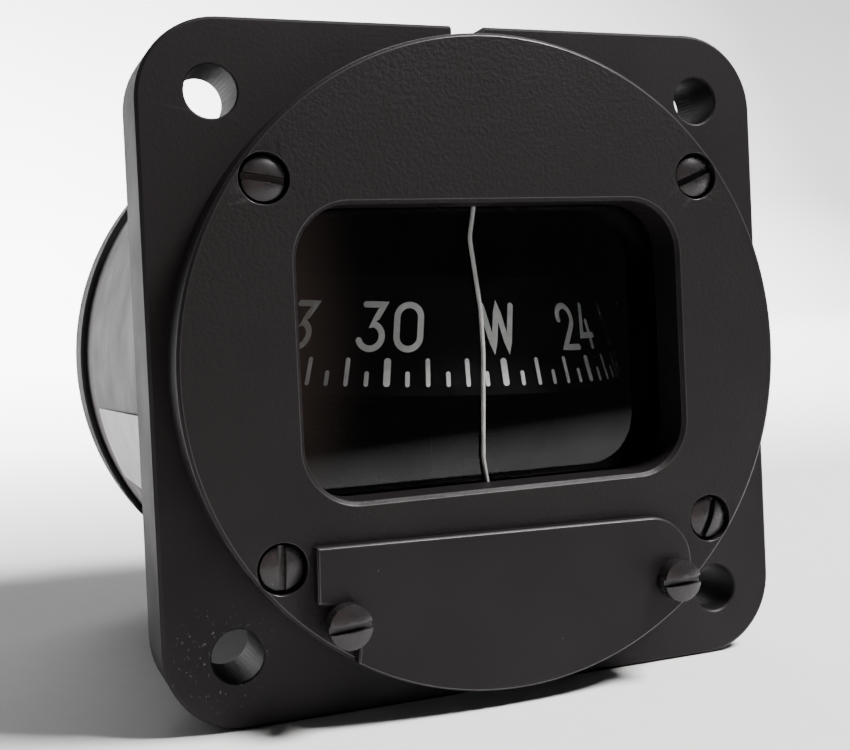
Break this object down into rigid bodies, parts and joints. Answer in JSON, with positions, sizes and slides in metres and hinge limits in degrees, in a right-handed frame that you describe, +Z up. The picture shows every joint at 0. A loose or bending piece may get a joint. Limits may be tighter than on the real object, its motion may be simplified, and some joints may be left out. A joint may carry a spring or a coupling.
{
  "type": "aircraft compass",
  "caption": "Panel-mounted liquid-damped magnetic compass with a square flange, a round bezel with a window, a swinging cover plate and a pivoted card.",
  "frame": {"origin": "centre of the flange's front face, which bears on the back of the instrument panel", "axes": "+X to the right seen from the front, +Y back into the instrument, +Z up; the window faces -Y"},
  "size_m": [0.0612, 0.0634, 0.0612],
  "materials": {
    "black_paint": "fine-textured satin black paint on cast aluminium",
    "bezel_paint": "fine-textured satin black paint",
    "cover_paint": "smooth satin black paint",
    "cap_paint": "satin black paint",
    "black_screw": "blackened steel, semi-gloss",
    "window": "clear polished glass",
    "seal_rubber": "black nitrile rubber",
    "wire_white": "white-enamelled wire",
    "dial_black": "matt black with pale grey figures",
    "rivet_metal": "plain aluminium",
    "brass": "turned brass",
    "spring_bronze": "phosphor bronze",
    "hard_steel": "hardened and polished steel",
    "magnet_steel": "magnet alloy, ground",
    "sapphire": "polished synthetic sapphire",
    "float_black": "sealed black plastic drum",
    "fibre": "vulcanised fibre washer"
  },
  "bodies": {
    "case": {"case": "black_paint", "bezel_disc": "bezel_paint", "bezel_screws": "black_screw", "window_glass": "window", "glass_gasket": "seal_rubber", "lubber_wire": "wire_white", "cover_pivot_screw": "black_screw", "cover_lock_screw": "black_screw", "rear_cap": "cap_paint", "cap_screws": "black_screw", "cap_seal": "seal_rubber", "expansion_diaphragm": "spring_bronze", "filler_plug": "black_screw", "filler_washer": "fibre", "post_bracket": "brass", "bracket_screws": "brass", "pivot_post": "brass", "post_cap": "brass", "pivot_spring": "spring_bronze", "compensator_block": "brass", "adjuster_washers": "spring_bronze", "idler_spindle": "hard_steel", "cross_pin": "hard_steel"},
    "cover": {"cover_plate": "cover_paint"},
    "pivot": {"pivot_pin": "hard_steel"},
    "pivot_ball": {"pivot_tip": "hard_steel"},
    "jewel_cup": {"jewel": "sapphire"},
    "card": {"card_hub": "brass", "keeper_ring": "brass", "card_float": "float_black", "card_dial": "dial_black", "card_spider": "dial_black", "card_rivets": "rivet_metal", "magnet_carrier": "brass", "card_magnets": "magnet_steel"},
    "lateral_shaft": {"lateral_adjuster": "brass", "lateral_gear": "brass", "lateral_magnets": "magnet_steel"},
    "lateral_idler": {"lateral_idler_gear": "brass", "idler_magnets": "magnet_steel"},
    "fore_aft_shaft": {"fore_aft_adjuster": "brass", "mitre_pinion": "brass"},
    "left_wheel": {"left_mitre_wheel": "brass", "left_magnets": "magnet_steel"},
    "right_wheel": {"right_mitre_wheel": "brass", "right_magnets": "magnet_steel"}
  },
  "joints": [
    {"name": "cover_swing", "type": "hinge", "parent": "case", "child": "cover", "pos_m": [0.0158, -0.0048, -0.0209], "axis": [0, 1, 0], "range_deg": [0, 100]},
    {"name": "pivot_give", "type": "slide", "parent": "case", "child": "pivot", "axis": [0, 0, -1], "range_m": [0, 0.0006], "stiffness_N_per_m": 600, "springref_m": -0.0005, "deforming": ["pivot_spring"]},
    {"name": "card_pitch", "type": "hinge", "parent": "pivot", "child": "pivot_ball", "pos_m": [0, 0.0254, -0.001], "axis": [1, 0, 0], "range_deg": [-20, 16]},
    {"name": "card_roll", "type": "hinge", "parent": "pivot_ball", "child": "jewel_cup", "pos_m": [0, 0.0254, -0.001], "axis": [0, 0.9994, 0.0349], "range_deg": [-20.8, 15.2]},
    {"name": "card_heading", "type": "hinge", "parent": "jewel_cup", "child": "card", "pos_m": [0, 0.0254, -0.001], "axis": [0.0488, -0.0349, 0.9982], "continuous": true},
    {"name": "lateral_adjust", "type": "hinge", "parent": "case", "child": "lateral_shaft", "pos_m": [0.0065, 0, -0.0204], "axis": [0, 1, 0], "continuous": true},
    {"name": "lateral_idler_turn", "type": "hinge", "parent": "case", "child": "lateral_idler", "pos_m": [0.0001, 0, -0.0204], "axis": [0, 1, 0], "continuous": true},
    {"name": "fore_aft_adjust", "type": "hinge", "parent": "case", "child": "fore_aft_shaft", "pos_m": [-0.0065, 0, -0.0204], "axis": [0, 1, 0], "continuous": true},
    {"name": "left_wheel_turn", "type": "hinge", "parent": "case", "child": "left_wheel", "pos_m": [-0.0065, 0.01515, -0.0204], "axis": [1, 0, 0], "continuous": true},
    {"name": "right_wheel_turn", "type": "hinge", "parent": "case", "child": "right_wheel", "pos_m": [-0.0065, 0.01515, -0.0204], "axis": [1, 0, 0], "continuous": true}
  ],
  "couplings": [
    {"joint": "lateral_idler_turn", "follows": "lateral_adjust", "ratio": -1},
    {"joint": "left_wheel_turn", "follows": "fore_aft_adjust", "ratio": -1},
    {"joint": "right_wheel_turn", "follows": "fore_aft_adjust", "ratio": 1}
  ]
}
